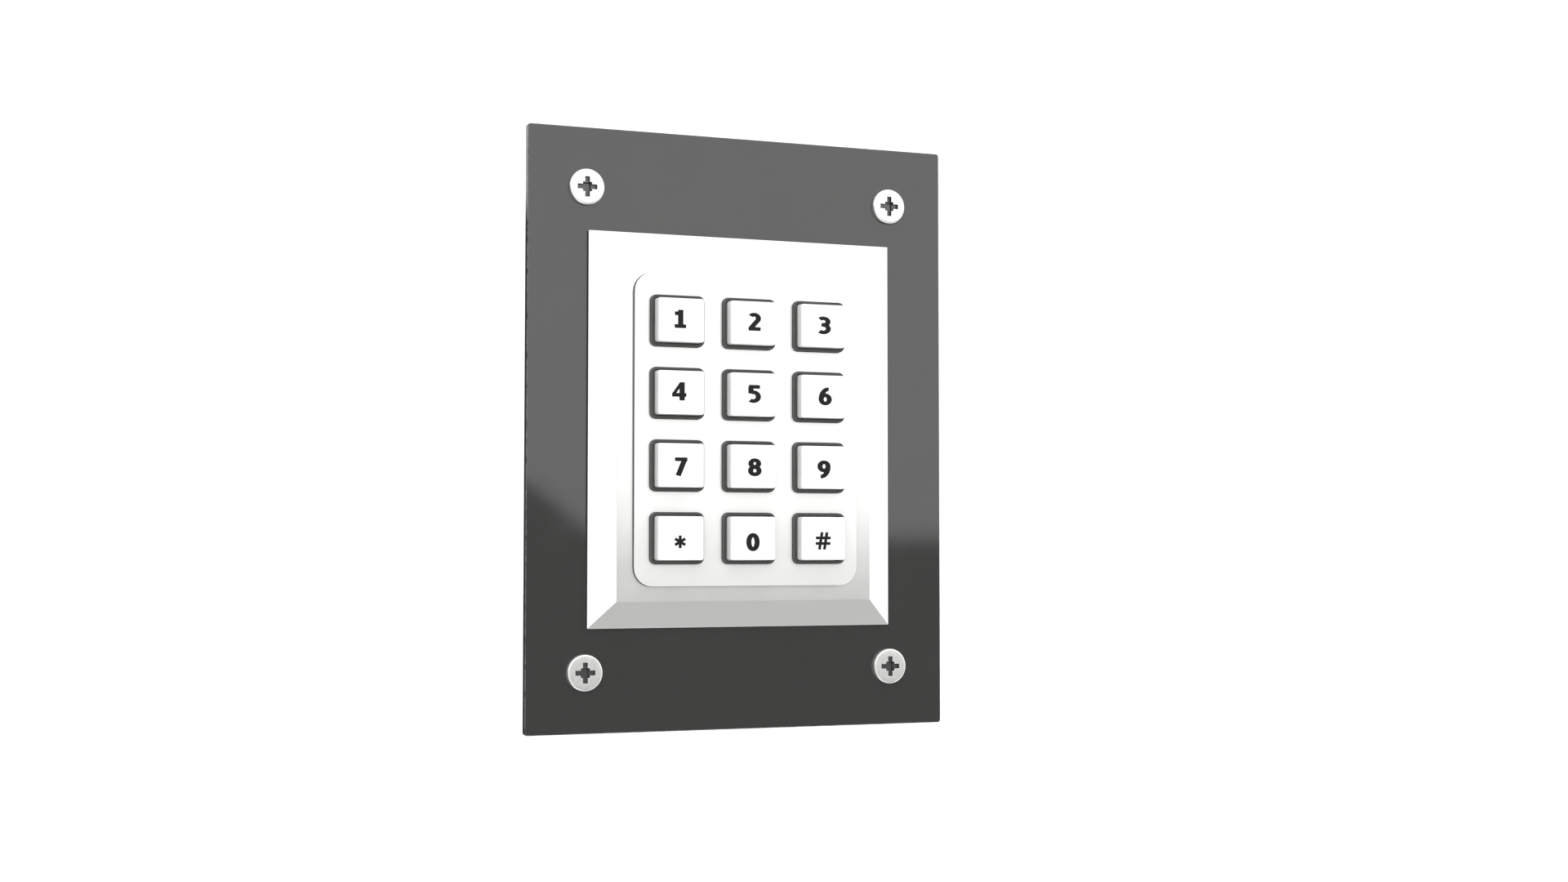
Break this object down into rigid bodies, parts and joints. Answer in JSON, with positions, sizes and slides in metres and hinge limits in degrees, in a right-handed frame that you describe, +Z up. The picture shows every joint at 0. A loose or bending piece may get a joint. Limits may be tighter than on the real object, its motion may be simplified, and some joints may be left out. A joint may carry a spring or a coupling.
{
  "type": "keypad access reader",
  "caption": "Flush-mounted keypad access reader: dark screwed faceplate, white bevelled housing, raised sprung keys, circuit board and rear wall housing.",
  "frame": {"origin": "centre of the wall surface behind the faceplate, which is the rear face of the gasket", "axes": "+X to the right of a person facing the keys, +Y into the wall, +Z up; the keys face -Y"},
  "size_m": [0.12, 0.0406, 0.16],
  "materials": {
    "plate_metal": "satin dark grey",
    "white_housing": "fine matt moulded",
    "white_keys": "satin moulded",
    "dark_frame": "matt",
    "rubber": "matt",
    "silicone": "translucent matt",
    "rear_plastic": "textured moulded",
    "screw_steel": "zinc plated",
    "board": "solder mask",
    "copper_wire": "enamelled",
    "black_epoxy": "moulded",
    "tin_can": "bright",
    "relay_blue": "moulded",
    "terminal_green": "moulded",
    "button_red": "moulded"
  },
  "bodies": {
    "reader": {"faceplate": "plate_metal", "wall_gasket": "rubber", "bezel_seal": "rubber", "front_bezel": "white_housing", "key_guide_frame": "dark_frame", "keypad_fascia": "white_housing", "dome_mat": "silicone", "circuit_board": "board", "antenna_coil": "copper_wire", "controller_chip": "black_epoxy", "crystal": "tin_can", "capacitor": "black_epoxy", "buzzer": "black_epoxy", "relay": "relay_blue", "voltage_regulator": "black_epoxy", "terminal_block": "terminal_green", "terminal_screw_1": "screw_steel", "terminal_screw_2": "screw_steel", "terminal_screw_3": "screw_steel", "terminal_screw_4": "screw_steel", "terminal_screw_5": "screw_steel", "terminal_screw_6": "screw_steel", "tamper_switch_body": "black_epoxy", "rear_housing": "rear_plastic", "cable_grommet": "rubber", "wall_screw_upper_left": "screw_steel", "wall_screw_upper_right": "screw_steel", "wall_screw_lower_left": "screw_steel", "wall_screw_lower_right": "screw_steel", "case_screw_upper_left": "screw_steel", "case_screw_upper_right": "screw_steel", "case_screw_lower_left": "screw_steel", "case_screw_lower_right": "screw_steel"},
    "key_1_body": {"key_1": "white_keys"},
    "key_2_body": {"key_2": "white_keys"},
    "key_3_body": {"key_3": "white_keys"},
    "key_4_body": {"key_4": "white_keys"},
    "key_5_body": {"key_5": "white_keys"},
    "key_6_body": {"key_6": "white_keys"},
    "key_7_body": {"key_7": "white_keys"},
    "key_8_body": {"key_8": "white_keys"},
    "key_9_body": {"key_9": "white_keys"},
    "key_star_body": {"key_star": "white_keys"},
    "key_0_body": {"key_0": "white_keys"},
    "key_hash_body": {"key_hash": "white_keys"},
    "tamper_plunger_body": {"tamper_plunger": "button_red"}
  },
  "joints": [
    {"name": "key_1_press", "type": "slide", "parent": "reader", "child": "key_1_body", "axis": [0, 1, 0], "range_m": [0, 0.0012], "stiffness_N_per_m": 600, "springref_m": -0.0005, "deforming": ["dome_mat"]},
    {"name": "key_2_press", "type": "slide", "parent": "reader", "child": "key_2_body", "axis": [0, 1, 0], "range_m": [0, 0.0012], "stiffness_N_per_m": 600, "springref_m": -0.0005, "deforming": ["dome_mat"]},
    {"name": "key_3_press", "type": "slide", "parent": "reader", "child": "key_3_body", "axis": [0, 1, 0], "range_m": [0, 0.0012], "stiffness_N_per_m": 600, "springref_m": -0.0005, "deforming": ["dome_mat"]},
    {"name": "key_4_press", "type": "slide", "parent": "reader", "child": "key_4_body", "axis": [0, 1, 0], "range_m": [0, 0.0012], "stiffness_N_per_m": 600, "springref_m": -0.0005, "deforming": ["dome_mat"]},
    {"name": "key_5_press", "type": "slide", "parent": "reader", "child": "key_5_body", "axis": [0, 1, 0], "range_m": [0, 0.0012], "stiffness_N_per_m": 600, "springref_m": -0.0005, "deforming": ["dome_mat"]},
    {"name": "key_6_press", "type": "slide", "parent": "reader", "child": "key_6_body", "axis": [0, 1, 0], "range_m": [0, 0.0012], "stiffness_N_per_m": 600, "springref_m": -0.0005, "deforming": ["dome_mat"]},
    {"name": "key_7_press", "type": "slide", "parent": "reader", "child": "key_7_body", "axis": [0, 1, 0], "range_m": [0, 0.0012], "stiffness_N_per_m": 600, "springref_m": -0.0005, "deforming": ["dome_mat"]},
    {"name": "key_8_press", "type": "slide", "parent": "reader", "child": "key_8_body", "axis": [0, 1, 0], "range_m": [0, 0.0012], "stiffness_N_per_m": 600, "springref_m": -0.0005, "deforming": ["dome_mat"]},
    {"name": "key_9_press", "type": "slide", "parent": "reader", "child": "key_9_body", "axis": [0, 1, 0], "range_m": [0, 0.0012], "stiffness_N_per_m": 600, "springref_m": -0.0005, "deforming": ["dome_mat"]},
    {"name": "key_star_press", "type": "slide", "parent": "reader", "child": "key_star_body", "axis": [0, 1, 0], "range_m": [0, 0.0012], "stiffness_N_per_m": 600, "springref_m": -0.0005, "deforming": ["dome_mat"]},
    {"name": "key_0_press", "type": "slide", "parent": "reader", "child": "key_0_body", "axis": [0, 1, 0], "range_m": [0, 0.0012], "stiffness_N_per_m": 600, "springref_m": -0.0005, "deforming": ["dome_mat"]},
    {"name": "key_hash_press", "type": "slide", "parent": "reader", "child": "key_hash_body", "axis": [0, 1, 0], "range_m": [0, 0.0012], "stiffness_N_per_m": 600, "springref_m": -0.0005, "deforming": ["dome_mat"]},
    {"name": "tamper_plunger_press", "type": "slide", "parent": "reader", "child": "tamper_plunger_body", "axis": [0, 1, 0], "range_m": [-0.0025, 0], "stiffness_N_per_m": 300, "springref_m": 0.0015}
  ]
}
